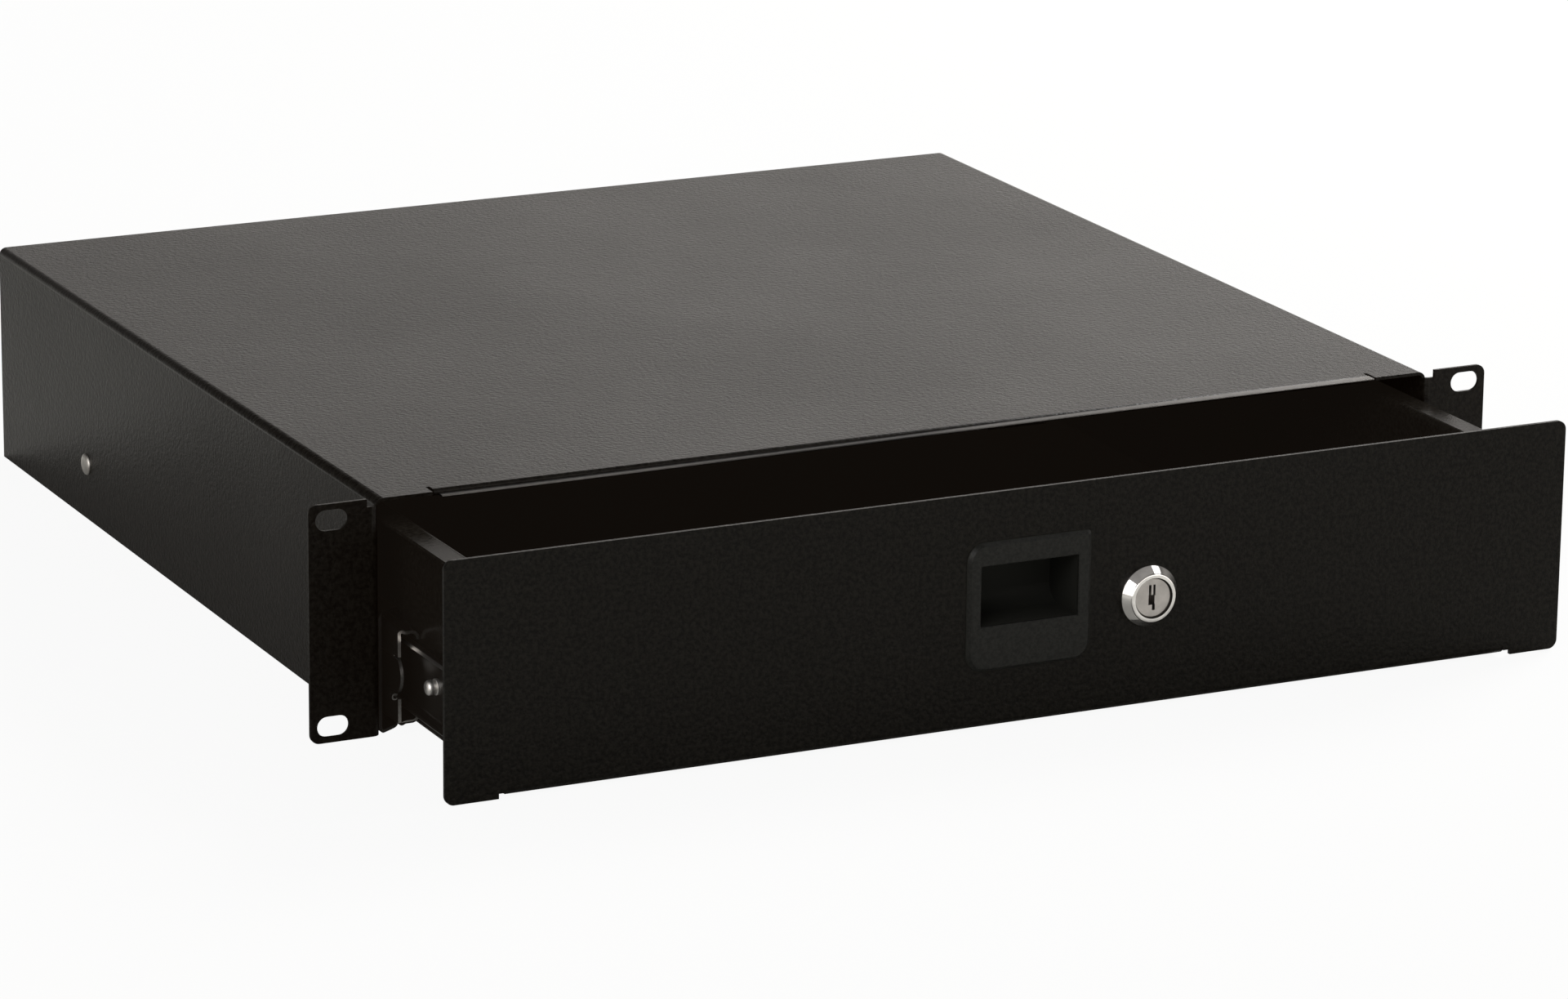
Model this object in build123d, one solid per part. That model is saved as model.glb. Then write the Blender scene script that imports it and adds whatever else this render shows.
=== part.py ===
from build123d import *
import math
import os

# Sliding rack drawer, two rack units high, drawn in millimetres and shown a little open.
# X runs to the right seen from the front, Y to the back and Z up.
# The origin is the centre of the rack screw pattern, on the back face of the ears.

# Rack interface
rack_width = 482.6
rack_height = 88.1
slot_inset = 8.75
slot_pitch_z = 76.2
slot_length = 12.2
slot_width = 7.6
ear_corner = 3.5

# Cover sheet
ear_width = 25.9
cover_depth = 400.0
cover_height = 87.7
sheet = 1.2
fold_inside = 1.8
ear_relief_width = 1.8
ear_relief_depth = 2.9
flat_setback = 0.8
hem_inset = 23.4
hem_setback = 3.3
hem_height = 2.6
hem_return = 8.0
hem_relief = 1.6
hem_relief_depth = 3.0

# Rear panel
rear_flange = 14.0
rear_panel_drop = 2.0
rear_corner_relief = 4.0

# Drawer opening
opening_at_rest = 81.5
front_gap = 0.4

# Telescopic rails
rail_height = 45.0
rail_thickness = 12.7
rail_sheet = 1.2
rail_setback = 2.0
rail_rear_gap = 48.0
rail_nose_cut = 7.5
rail_corner = 1.8
outer_ball_radius = 1.9
inner_ball_radius = 1.6
ball_clearance = 0.15
outer_ball_line = 7.4
inner_ball_line = 9.4
outer_lip_wrap = 20.0
middle_lip_wrap = 15.0
inner_lip_wrap = 40.0
middle_web_line = 4.7
middle_shoulder = 0.9
middle_shortfall = 45.0
middle_setback = 34.8
emboss_height = 1.0
emboss_width = 15.5
emboss_turn = 40.0
emboss_radius = 1.0
tongue_relief = 4.0
tongue_radius = 8.5
inner_rail_shortfall = 12.0
inner_rail_setback = 1.5
inner_corner = 1.5

# Ball cages
cage_sheet = 0.5
cage_length = 100.0
cage_gap = 0.2
cage_leg = 4.1
cage_lip = 0.9
outer_cage_setback = 127.0
inner_cage_setback = 132.0
balls_per_row = 4
ball_pitch = 23.0
ball_bands = 3
pocket_clearance = 0.1
outer_cage_line = 2.45

# Rivets, studs and end stops
rivet_head_radius = 4.3
rivet_head_height = 1.4
rivet_crown_radius = 2.6
side_rivet_insets = (27.2, 51.3)
tray_rivet_insets = (55.7, 20.3)
stud_position = 56.0
stud_lift = 1.4
stud_radius = 2.8
stud_length = 4.7
stud_nose = 0.8
end_stop_gap = 0.5
end_stop_wide = 4.8
end_stop_nose = 9.0
end_stop_half_height = 12.0
end_stop_clearance = 0.4

# Drawer front
front_inset = 16.3
front_height = 88.1
front_sheet = 1.5
front_lift = 0.7
front_corner = 3.5
front_fold_inside = 1.2
front_flange = 12.0
front_flange_rise = 0.7
front_notch_width = 3.0
front_notch_depth = 1.9
front_notch_gap = 0.2

# Tray
tray_sheet = 1.2
tray_fold_inside = 1.3
tray_top = 78.0
tray_flange = 9.3
tray_shortfall = 38.0
tray_tab_width = 12.0
tray_tab_margin = 8.0

# Finger pull
pull_x = 1.1
pull_z = 46.65
bezel_width = 50.0
bezel_height = 48.2
bezel_corner = 7.0
bezel_sharp_corner = 1.8
bezel_proud = 1.6
bezel_bevel = 1.4
window_width = 39.2
window_height = 22.4
window_shift_x = -0.1
window_shift_z = 4.15
window_bevel = 0.35
cup_wall = 1.6
cup_depth = 22.0
cup_corner = 2.0
cup_scoop = 8.0
cup_hook_space = 5.0
cup_clearance = 0.25
snap_width = 9.0
snap_length = 5.0
snap_height = 1.2
snap_gap = 0.15

# Cam lock
lock_x = 49.65
lock_z = 43.1
collar_base_radius = 11.5
collar_foot = 0.8
collar_front_radius = 9.05
collar_height = 5.1
collar_bevel = 0.35
barrel_radius = 9.4
barrel_flats = 16.0
barrel_length = 22.0
hole_clearance = 0.15
plug_radius = 7.1
plug_clearance = 0.06
plug_recess = 0.95
keyway_strokes = (
    (-1.6, -0.7, 0.8, 4.8),
    (0.2, 1.0, 0.8, 4.8),
    (-1.7, 0.7, -2.6, 1.0),
    (-0.2, 0.9, -4.7, -2.4),
)
keyway_depth = 7.0
lock_nut_flats = 23.0
lock_nut_thickness = 4.8
cam_thickness = 2.0
cam_width = 16.0
cam_tip_width = 12.0
cam_play = 0.2
drive_square = 7.0
drive_clearance = 0.05
cam_tip_gap = 0.6
cam_screw_flats = 9.0
cam_screw_head = 4.0

# Strike under the cover
strike_sheet = 1.5
strike_width = 24.0
strike_depth = 16.0
strike_gap = 0.6
strike_height = 6.5
strike_fold_inside = 1.0

# Places worked out from the sizes above
bottom = -rack_height / 2
cover_width = rack_width - 2 * ear_width
front_width = rack_width - 2 * front_inset
hem_width = cover_width - 2 * hem_inset
slot_place_x = rack_width / 2 - slot_inset
ear_front = -sheet
cover_back = ear_front + cover_depth
cover_top = bottom + cover_height
wall_inside = cover_width / 2 - sheet
fold_outside = fold_inside + sheet
fold_middle = fold_inside + sheet / 2
rail_centre = bottom + rail_height / 2
rail_length = cover_depth - rail_setback - rail_rear_gap
middle_length = rail_length - middle_shortfall
inner_rail_length = rail_length - inner_rail_shortfall
tray_length = cover_depth - tray_shortfall
rail_start = ear_front + rail_setback
rail_end = rail_start + rail_length
side_rivets = (rail_start + side_rivet_insets[0], rail_end - side_rivet_insets[1])
outer_race = outer_ball_radius + ball_clearance + rail_sheet / 2
inner_race = inner_ball_radius + ball_clearance + rail_sheet / 2
outer_ball_height = rail_height / 2 - rail_sheet / 2 - outer_race
inner_ball_height = outer_ball_height - outer_race - inner_race
middle_start = ear_front + middle_setback
middle_end = middle_start + middle_length
inner_rail_height = inner_ball_height - inner_race
tray_half = wall_inside - rail_thickness
tray_fold_outside = tray_fold_inside + tray_sheet
tray_fold_middle = tray_fold_inside + tray_sheet / 2
front_back_face = ear_front - front_gap
front_face = front_back_face - front_sheet
front_bottom = bottom + front_lift
front_fold_outside = front_fold_inside + front_sheet
front_fold_middle = front_fold_inside + front_sheet / 2
front_notch_x = tray_half + front_notch_gap + front_notch_width / 2
tray_floor = front_bottom + front_flange_rise + front_sheet
tray_start = front_back_face
tray_end = tray_start + tray_length
flange_top = bottom + tray_top
inner_rail_start = ear_front + inner_rail_setback
inner_rail_end = inner_rail_start + inner_rail_length
tray_rivets = (inner_rail_start + tray_rivet_insets[0], inner_rail_end - tray_rivet_insets[1])
outer_cage_start = ear_front + outer_cage_setback
inner_cage_start = ear_front + inner_cage_setback
pull_centre_z = bottom + pull_z
window_x = pull_x + window_shift_x
window_z = pull_centre_z + window_shift_z
lock_centre_z = bottom + lock_z
plug_face = front_face - collar_height + plug_recess
barrel_end = front_face + barrel_length
cam_front = barrel_end + cam_play
cam_reach = cover_top - sheet - strike_sheet - cam_tip_gap - lock_centre_z


def along_x(section, start, end):
    """Carry a section drawn as (y, z) from x = start to x = end."""
    return extrude(Plane.YZ.offset(start) * section, end - start, dir=(1, 0, 0))


def along_y(section, start, end):
    """Carry a section drawn as (x, z) from y = start to y = end."""
    return extrude(Plane.XZ.offset(-start) * section, end - start, dir=(0, 1, 0))


def along_z(section, start, end):
    """Carry a section drawn as (x, y) from z = start to z = end."""
    return extrude(Plane.XY.offset(start) * section, end - start, dir=(0, 0, 1))


def block(low, high):
    """A box between two corners, used for cuts and plain blanks."""
    size = [b - a for a, b in zip(low, high)]
    return Pos(*low) * Box(*size, align=(Align.MIN, Align.MIN, Align.MIN))


def rectangle(left, right, low, high):
    """A flat rectangle between two corners."""
    return Pos((left + right) / 2, (low + high) / 2) * Rectangle(right - left, high - low)


def sheet_section(start, heading, steps, thickness):
    """Section of a bent sheet whose middle line is made of straight lengths and (turn, radius) bends."""
    place = Vector(*start)
    left = []
    right = []
    for step in steps:
        forward = Vector(1, 0).rotate(Axis.Z, heading)
        across = forward.rotate(Axis.Z, 90)
        if isinstance(step, tuple):
            turn, radius = step
            centre = place + across * math.copysign(radius, turn)
            for edges, offset in ((left, thickness / 2), (right, -thickness / 2)):
                spoke = place + across * offset - centre
                ends = [centre + spoke.rotate(Axis.Z, turn * part) for part in (0, 0.5, 1)]
                edges.append(ThreePointArc(*ends))
            place = centre + (place - centre).rotate(Axis.Z, turn)
            heading += turn
        else:
            for edges, offset in ((left, thickness / 2), (right, -thickness / 2)):
                first = place + across * offset
                edges.append(Line(first, first + forward * step))
            place += forward * step
    caps = [Line(left[-1] @ 1, right[-1] @ 1), Line(left[0] @ 0, right[0] @ 0)]
    return Face(Wire(left + right + caps))


def opened(shape, share=1.0):
    """Move a piece forward by its share of the opening that the drawer rests at."""
    return Pos(0, -share * opening_at_rest, 0) * shape


def both_sides(name, left_shape):
    """Write a left-hand piece and its mirror image."""
    write("left_" + name, left_shape)
    write("right_" + name, mirror(left_shape, about=Plane.YZ))


def write(name, shape):
    """Write one node."""
    export_step(shape, os.path.join("parts", name + ".step"))


def rack_ear():
    """Right-hand ear, turned outward from the front edge of the side wall, with its two rack slots."""
    relief_start = cover_width / 2 - sheet + fold_outside
    relief_low = rack_height / 2 - ear_relief_depth
    fold = sheet_section(
        (cover_width / 2 - sheet / 2, ear_front + fold_outside),
        -90,
        [(90, fold_middle)],
        sheet,
    )
    outline = rectangle(relief_start, rack_width / 2, bottom, -bottom)
    outline = fillet(outline.vertices().group_by(Axis.X)[-1], ear_corner)
    outline -= rectangle(relief_start, relief_start + ear_relief_width, relief_low, -bottom)
    for side in (-1, 1):
        outline -= Pos(slot_place_x, side * slot_pitch_z / 2) * SlotOverall(slot_length, slot_width)
    return along_z(fold, bottom, relief_low) + along_y(outline, ear_front, ear_front + sheet)


def front_hem():
    """Safe front edge of the top plate, folded back under itself between the two reliefs."""
    tangent = ear_front + hem_setback + hem_height / 2
    section = sheet_section(
        (tangent + hem_return, cover_top - hem_height + sheet / 2),
        180,
        [hem_return, (-180, (hem_height - sheet) / 2)],
        sheet,
    )
    return along_x(section, -hem_width / 2, hem_width / 2)


def cover_shell():
    """Top plate, side walls and ears, cut and folded from one steel sheet."""
    wall = cover_height - fold_outside
    across = cover_width - 2 * fold_outside
    section = sheet_section(
        (-cover_width / 2 + sheet / 2, bottom),
        90,
        [wall, (-90, fold_middle), across, (-90, fold_middle), wall],
        sheet,
    )
    shell = along_y(section, ear_front + flat_setback, cover_back)
    ear_fold_end = ear_front + fold_outside
    relief_low = rack_height / 2 - ear_relief_depth
    for side in (-1, 1):
        edge = side * cover_width / 2
        reach = side * (cover_width / 2 - fold_outside)
        shell -= block(
            (min(edge, reach), ear_front, bottom),
            (max(edge, reach), ear_fold_end, relief_low),
        )
    tangent = ear_front + hem_setback + hem_height / 2
    half = hem_width / 2
    shell -= block((-half, ear_front, cover_top - sheet), (half, tangent, cover_top))
    shell += front_hem()
    for side in (-1, 1):
        near = side * half
        far = side * (half + hem_relief)
        shell -= block(
            (min(near, far), ear_front, cover_top - sheet),
            (max(near, far), tangent + hem_relief_depth, cover_top),
        )
    ear = rack_ear()
    shell += ear + mirror(ear, about=Plane.YZ)
    return shell


def rear_panel():
    """Back closing panel, a shallow pan whose flanges are spot-welded inside the cover."""
    inside = cover_top - sheet
    low = bottom + rear_panel_drop
    start = cover_back - rear_flange
    leg = rear_flange - fold_outside
    sides = sheet_section(
        (-wall_inside + sheet / 2, start),
        90,
        [leg, (-90, fold_middle), 2 * (wall_inside - fold_outside), (-90, fold_middle), leg],
        sheet,
    )
    span = inside - low - 2 * fold_outside
    upright = sheet_section(
        (start, low + sheet / 2),
        0,
        [leg, (90, fold_middle), span, (90, fold_middle), leg],
        sheet,
    )
    ease = fold_outside + rear_corner_relief
    wide = wall_inside - ease
    return along_z(sides, low + ease, inside - ease) + along_x(upright, -wide, wide)


def strike():
    """Angle welded under the top plate; its front leg is what the cam hooks behind."""
    back = cam_front - strike_gap
    inside = cover_top - sheet
    outside_radius = strike_fold_inside + strike_sheet
    middle_radius = strike_fold_inside + strike_sheet / 2
    section = sheet_section(
        (back - strike_sheet / 2, inside - strike_height),
        90,
        [strike_height - outside_radius, (-90, middle_radius), strike_depth - outside_radius],
        strike_sheet,
    )
    return along_x(section, lock_x - strike_width / 2, lock_x + strike_width / 2)


def rail_place(section):
    """Put a rail section, drawn as (distance from the left wall, height from the rail's middle)."""
    return Pos(-wall_inside, rail_centre) * section


def outer_rail():
    """Channel on the cover's side wall, with its lips curled round the outer balls."""
    wrap = math.radians(outer_lip_wrap)
    start = (
        outer_ball_line + outer_race * math.cos(wrap),
        -outer_ball_height + outer_race * math.sin(wrap),
    )
    flange = outer_ball_line - rail_sheet / 2 - rail_corner
    web = rail_height - rail_sheet - 2 * rail_corner
    lip = (-90 - outer_lip_wrap, outer_race)
    corner = (-90, rail_corner)
    steps = [lip, flange, corner, web, corner, flange, lip]
    section = sheet_section(start, -90 + outer_lip_wrap, steps, rail_sheet)
    rail = along_y(rail_place(section), rail_start, rail_end)
    wedge = Polygon(
        (-wall_inside + rail_sheet, rail_start),
        (-wall_inside + rail_thickness, rail_start),
        (-wall_inside + rail_thickness, rail_start + rail_nose_cut),
        align=None,
    )
    return rail - along_z(wedge, bottom, bottom + rail_height)


def middle_rail():
    """Rolled rail between the two others, grooved outside for two ball rows and inside for two more."""
    groove = math.degrees(
        math.asin((outer_ball_line - middle_shoulder - middle_web_line) / (outer_race + middle_shoulder))
    )
    wrap = math.radians(middle_lip_wrap)
    start = (
        inner_ball_line + inner_race * math.cos(wrap),
        -inner_ball_height + inner_race * math.sin(wrap),
    )
    shoulder_height = outer_ball_height - (outer_race + middle_shoulder) * math.cos(math.radians(groove))
    turn = math.radians(emboss_turn)
    slope = (emboss_height - 2 * emboss_radius * (1 - math.cos(turn))) / math.sin(turn)
    rise = 2 * emboss_radius * math.sin(turn) + slope * math.cos(turn)
    flat = shoulder_height - emboss_width / 2
    into = [(-emboss_turn, emboss_radius), slope, (emboss_turn, emboss_radius)]
    out_of = [(emboss_turn, emboss_radius), slope, (-emboss_turn, emboss_radius)]
    lip = (-90 - middle_lip_wrap, inner_race)
    step = inner_ball_line - outer_ball_line
    bowl = (groove, outer_race)
    shoulder = (-90 - groove, middle_shoulder)
    steps = [lip, step, bowl, shoulder, flat]
    steps += into + [emboss_width - 2 * rise] + out_of
    steps += [flat, shoulder, bowl, step, lip]
    section = sheet_section(start, -90 + middle_lip_wrap, steps, rail_sheet)
    rail = along_y(rail_place(section), middle_start, middle_end)
    half = emboss_width / 2
    relief = rectangle(middle_start, middle_start + tongue_relief, rail_centre - half, rail_centre + half)
    relief -= Pos(middle_start + tongue_radius, rail_centre) * Circle(tongue_radius)
    return rail - along_x(relief, -wall_inside, -tray_half)


def inner_rail():
    """Rail on the tray's side wall, cupped round the inner balls."""
    wrap = math.radians(90 + inner_lip_wrap)
    start = (
        inner_ball_line + inner_race * math.cos(wrap),
        -inner_ball_height + inner_race * math.sin(wrap),
    )
    flange = rail_thickness - rail_sheet / 2 - inner_corner - inner_ball_line
    web = 2 * (inner_rail_height - inner_corner)
    lip = (-inner_lip_wrap, inner_race)
    corner = (90, inner_corner)
    steps = [lip, flange, corner, web, corner, flange, lip]
    section = sheet_section(start, inner_lip_wrap, steps, rail_sheet)
    return along_y(rail_place(section), inner_rail_start, inner_rail_end)


def ball_places(start):
    """Distances along Y of the balls in one row of a cage."""
    first = start + (cage_length - (balls_per_row - 1) * ball_pitch) / 2
    return [first + ball_pitch * i for i in range(balls_per_row)]


def ball(radius, centre):
    """Bearing ball, drawn with few facets because many repeat."""
    pole = Vector(0, 0, radius)
    rings = []
    for i in range(1, ball_bands):
        start = pole.rotate(Axis.Y, 180 * i / ball_bands)
        rings.append([start.rotate(Axis.Z, 180 * j / ball_bands) for j in range(2 * ball_bands)])
    faces = []
    for j in range(2 * ball_bands):
        k = (j + 1) % (2 * ball_bands)
        faces.append((pole, rings[0][j], rings[0][k]))
        faces.append((-pole, rings[-1][k], rings[-1][j]))
        for upper, lower in zip(rings, rings[1:]):
            faces.append((upper[j], lower[j], lower[k], upper[k]))
    shell = []
    for corners in faces:
        shell.append(Face(Wire.make_polygon([centre + corner for corner in corners])))
    return Solid(Shell(shell))


def ball_rows(radius, line, height, start):
    """Steel balls above and below the rail's middle."""
    balls = []
    for y in ball_places(start):
        for side in (-1, 1):
            balls.append(ball(radius, Vector(-wall_inside + line, y, rail_centre + side * height)))
    return Compound(balls)


def outer_balls():
    """Balls between the outer and the middle rail."""
    return ball_rows(outer_ball_radius, outer_ball_line, outer_ball_height, outer_cage_start)


def inner_balls():
    """Balls between the middle and the inner rail."""
    return ball_rows(inner_ball_radius, inner_ball_line, inner_ball_height, inner_cage_start)


def pockets(radius, line, start):
    """Upright six-sided openings that the balls sit in."""
    cuts = []
    for y in ball_places(start):
        outline = RegularPolygon(radius + pocket_clearance, 6, major_radius=False, rotation=30)
        cuts.append(along_z(Pos(-wall_inside + line, y) * outline, bottom, bottom + rail_height))
    return cuts


def cage_flange(line, ball_line, height):
    """Section of a cage flange at one ball row, from the cage's web line out past the balls."""
    half = cage_sheet / 2
    return rectangle(line - half, ball_line + cage_lip, height - half, height + half)


def outer_cage():
    """Strip behind the middle rail, with a pocketed flange for each row of outer balls."""
    line = outer_cage_line
    section = rectangle(line - cage_sheet / 2, line + cage_sheet / 2, -outer_ball_height, outer_ball_height)
    for side in (-1, 1):
        section += cage_flange(line, outer_ball_line, side * outer_ball_height)
    start = outer_cage_start
    strip = along_y(rail_place(section), start, start + cage_length)
    return strip - pockets(outer_ball_radius, outer_ball_line, start)


def inner_cage():
    """Two angle strips inside the middle rail, each pocketed for one row of inner balls."""
    line = middle_web_line + rail_sheet / 2 + cage_gap + cage_sheet / 2
    leg_end = inner_ball_height - cage_leg
    section = rectangle(line - cage_sheet / 2, line + cage_sheet / 2, leg_end, inner_ball_height)
    section += cage_flange(line, inner_ball_line, inner_ball_height)
    start = inner_cage_start
    strips = []
    for section_half in (section, mirror(section, about=Plane.XZ)):
        strip = along_y(rail_place(section_half), start, start + cage_length)
        strips.append(strip - pockets(inner_ball_radius, inner_ball_line, start))
    return Compound(strips)


def rivet_heads(face, direction, places):
    """Low bevelled rivet heads in a row on a wall whose face is at x = face."""
    crown = face + direction * rivet_head_height
    corners = [(face, 0), (face, rivet_head_radius), (crown, rivet_crown_radius), (crown, 0)]
    head = revolve(make_face(Polyline(*corners, close=True)), Axis.X)
    return Compound([Pos(0, y, rail_centre) * head for y in places])


def rail_rivet_heads():
    """Heads, outside the side wall, of the rivets that hold the outer rail."""
    return rivet_heads(-cover_width / 2, -1, side_rivets)


def tray_rivet_heads():
    """Heads, inside the tray, of the rivets that hold the inner rail."""
    return rivet_heads(-tray_half + tray_sheet, 1, tray_rivets)


def rail_stud():
    """Stub pin on the inner rail's web; its end shows between the ear and the drawer front."""
    web = -tray_half - rail_sheet
    end = web - stud_length
    corners = [
        (web, 0),
        (web, stud_radius),
        (end + stud_nose, stud_radius),
        (end, stud_radius - stud_nose),
        (end, 0),
    ]
    pin = revolve(make_face(Polyline(*corners, close=True)), Axis.X)
    return Pos(0, stud_position, rail_centre + stud_lift) * pin


def end_stop():
    """Moulded stop at the rear of the outer rail, which the middle rail closes against."""
    start = middle_end + end_stop_gap
    inner = rail_sheet
    tall = rail_height / 2 - rail_sheet - end_stop_clearance
    section = rectangle(inner, inner + end_stop_wide, -tall, tall)
    section = fillet(section.vertices().group_by(Axis.X)[0], rail_corner)
    nose = inner + end_stop_nose
    section += rectangle(inner + end_stop_wide, nose, -end_stop_half_height, end_stop_half_height)
    return along_y(rail_place(section), start, rail_end)


def drawer_front():
    """Front panel with its lower edge folded back under the tray between two bend reliefs."""
    low = front_bottom
    high = front_bottom + front_height
    half = front_width / 2
    outline = Pos(0, (low + high) / 2) * RectangleRounded(front_width, front_height, front_corner)
    fold_half = front_notch_x - front_notch_width / 2
    tangent = low + front_flange_rise + front_fold_outside
    outline -= rectangle(-fold_half, fold_half, low, tangent)
    for side in (-1, 1):
        centre = side * front_notch_x
        reach = front_notch_width / 2
        outline -= rectangle(centre - reach, centre + reach, low, low + front_notch_depth)
    outline -= rectangle(*cup_cutout())
    outline -= Pos(lock_x, lock_centre_z) * barrel_hole()
    fold = sheet_section(
        (front_face + front_sheet / 2, tangent),
        -90,
        [(90, front_fold_middle), front_flange],
        front_sheet,
    )
    panel = along_y(outline, front_face, front_back_face)
    return panel + along_x(fold, -fold_half, fold_half)


def cup_cutout():
    """Corners of the panel opening for the finger pull."""
    reach = window_width / 2 + cup_wall + cup_clearance
    low = window_z - window_height / 2 - cup_wall - cup_clearance
    high = window_z + window_height / 2 + cup_hook_space + cup_wall + cup_clearance
    return window_x - reach, window_x + reach, low, high


def flatted_circle(radius, flats):
    """Round outline with two flats, left and right, that keep the lock from turning."""
    return Circle(radius) & Rectangle(flats, 2 * radius)


def lock_place():
    """Move to the lock's axis from the origin."""
    return Pos(lock_x, 0, lock_centre_z)


def barrel_hole():
    """Outline of the flatted hole that the lock barrel passes through."""
    return flatted_circle(barrel_radius + hole_clearance, barrel_flats + 2 * hole_clearance)


def drawer_tray():
    """Open-topped tray folded from one sheet, with out-turned flanges and front tabs."""
    wall = flange_top - tray_floor - 2 * tray_fold_outside
    floor = 2 * (tray_half - tray_fold_outside)
    flange = tray_flange - tray_fold_inside
    out_bend = (-90, tray_fold_middle)
    in_bend = (90, tray_fold_middle)
    section = sheet_section(
        (-tray_half - tray_flange, flange_top - tray_sheet / 2),
        0,
        [flange, out_bend, wall, in_bend, floor, in_bend, wall, out_bend, flange],
        tray_sheet,
    )
    tray = along_y(section, tray_start, tray_end)
    bend_start = tray_end - tray_fold_outside
    corner = tray_half - tray_fold_outside
    tray -= block((-corner, bend_start, tray_floor), (corner, tray_end, tray_floor + tray_sheet))
    rear = sheet_section(
        (bend_start, tray_floor + tray_sheet / 2),
        0,
        [in_bend, wall, out_bend, flange],
        tray_sheet,
    )
    tray += along_x(rear, -tray_half + tray_sheet, tray_half - tray_sheet)
    tray -= block(
        (-tray_half, tray_start, tray_floor),
        (tray_half, tray_start + front_fold_inside, tray_floor + front_fold_inside),
    )
    tab_bend_end = tray_start + tray_fold_outside
    tab_low = tray_floor + tray_tab_margin
    tab_high = flange_top - tray_tab_margin
    tab = sheet_section(
        (tray_half - tray_sheet / 2, tab_bend_end),
        -90,
        [(-90, tray_fold_middle), tray_tab_width - tray_fold_outside],
        tray_sheet,
    )
    tab = along_z(tab, tab_low, tab_high)
    cut = block((tray_half - tray_sheet, tray_start, tab_low), (tray_half, tab_bend_end, tab_high))
    tray -= cut + mirror(cut, about=Plane.YZ)
    tray += tab + mirror(tab, about=Plane.YZ)
    return tray


def bezel():
    """Bevelled plate of the finger pull, with one corner nearly square."""
    right = pull_x + bezel_width / 2
    high = pull_centre_z + bezel_height / 2
    outline = rectangle(right - bezel_width, right, high - bezel_height, high)
    corners = outline.vertices().sort_by_distance((right, high))
    outline = fillet(corners[:1], bezel_sharp_corner)
    corners = outline.vertices().sort_by_distance((right, high))
    outline = fillet([corners[-3], corners[-2], corners[-1]], bezel_corner)
    plate = along_y(outline, front_face - bezel_proud, front_face)
    return chamfer(plate.faces().sort_by(Axis.Y)[0].edges(), bezel_bevel)


def cup(left, right, low, high, front, back, scoop):
    """Solid of the cup or of its hollow, rounded at the back and more so at the bottom."""
    body = along_y(rectangle(left, right, low, high), front, back)
    lower, upper = body.edges().filter_by(Axis.X).group_by(Axis.Y)[-1].sort_by(Axis.Z)
    body = fillet([upper], cup_corner)
    lower = body.edges().filter_by(Axis.X).group_by(Axis.Y)[-1].sort_by(Axis.Z)[0]
    return fillet([lower], scoop)


def finger_pull():
    """Moulded recessed pull: a bezel in front of the panel and a cup behind it, held by snaps."""
    left, right, low, high = cup_cutout()
    left += cup_clearance
    right -= cup_clearance
    low += cup_clearance
    high -= cup_clearance
    cup_back = front_face + cup_depth
    body = cup(left, right, low, high, front_face, cup_back, cup_scoop)
    hollow = cup(
        left + cup_wall,
        right - cup_wall,
        low + cup_wall,
        high - cup_wall,
        front_face + cup_wall,
        cup_back - cup_wall,
        cup_scoop - cup_wall,
    )
    window = along_y(
        Pos(window_x, window_z) * Rectangle(window_width, window_height),
        front_face - bezel_proud,
        front_face + cup_wall,
    )
    pull = bezel() + body - hollow - window
    rim = pull.faces().sort_by(Axis.Y)[0].inner_wires()[0].edges()
    pull = chamfer(rim, window_bevel)
    snap_start = front_back_face + snap_gap
    for side, face in ((-1, left), (1, right)):
        wedge = Polygon(
            (face, snap_start),
            (face + side * snap_height, snap_start),
            (face, snap_start + snap_length),
            align=None,
        )
        pull += along_z(wedge, window_z - snap_width / 2, window_z + snap_width / 2)
    return pull


def lock_housing():
    """Chrome lock case: coned collar in front of the panel and a flatted barrel through it."""
    front = front_face - collar_height
    foot = front_face - collar_foot
    bore = plug_radius + plug_clearance
    corners = [
        (bore, front_face),
        (bore, front),
        (collar_front_radius - collar_bevel, front),
        (collar_front_radius, front + collar_bevel),
        (collar_base_radius, foot),
        (collar_base_radius, front_face),
    ]
    collar = revolve(make_face(Polyline(*corners, close=True)), Axis.Y)
    barrel = flatted_circle(barrel_radius, barrel_flats) - Circle(bore)
    return lock_place() * (collar + along_y(barrel, front_face, barrel_end))


def keyway():
    """Upright key slot in the face of the plug, forked at the top and stepped below."""
    outline = Sketch() + [rectangle(*stroke) for stroke in keyway_strokes]
    return along_y(outline, plug_face, plug_face + keyway_depth)


def lock_plug():
    """Key plug that turns in the housing, with a square end that drives the cam."""
    plug = along_y(Circle(plug_radius), plug_face, cam_front)
    drive = along_y(Rectangle(drive_square, drive_square), cam_front, cam_front + cam_thickness)
    return lock_place() * (plug + drive - keyway())


def lock_cam():
    """Flat cam on the plug's square end; it points sideways when open and up when locked."""
    reach = cam_reach - cam_tip_width / 2
    outline = Circle(cam_width / 2)
    outline += Pos(reach, 0) * Circle(cam_tip_width / 2)
    outline += Polygon(
        (0, -cam_width / 2),
        (reach, -cam_tip_width / 2),
        (reach, cam_tip_width / 2),
        (0, cam_width / 2),
        align=None,
    )
    hole = drive_square + 2 * drive_clearance
    outline -= Rectangle(hole, hole)
    return lock_place() * along_y(outline, cam_front, cam_front + cam_thickness)


def cam_screw():
    """Hexagon head of the screw that holds the cam on the plug."""
    seat = cam_front + cam_thickness
    outline = RegularPolygon(cam_screw_flats / 2, 6, major_radius=False)
    return lock_place() * along_y(outline, seat, seat + cam_screw_head)


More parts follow.
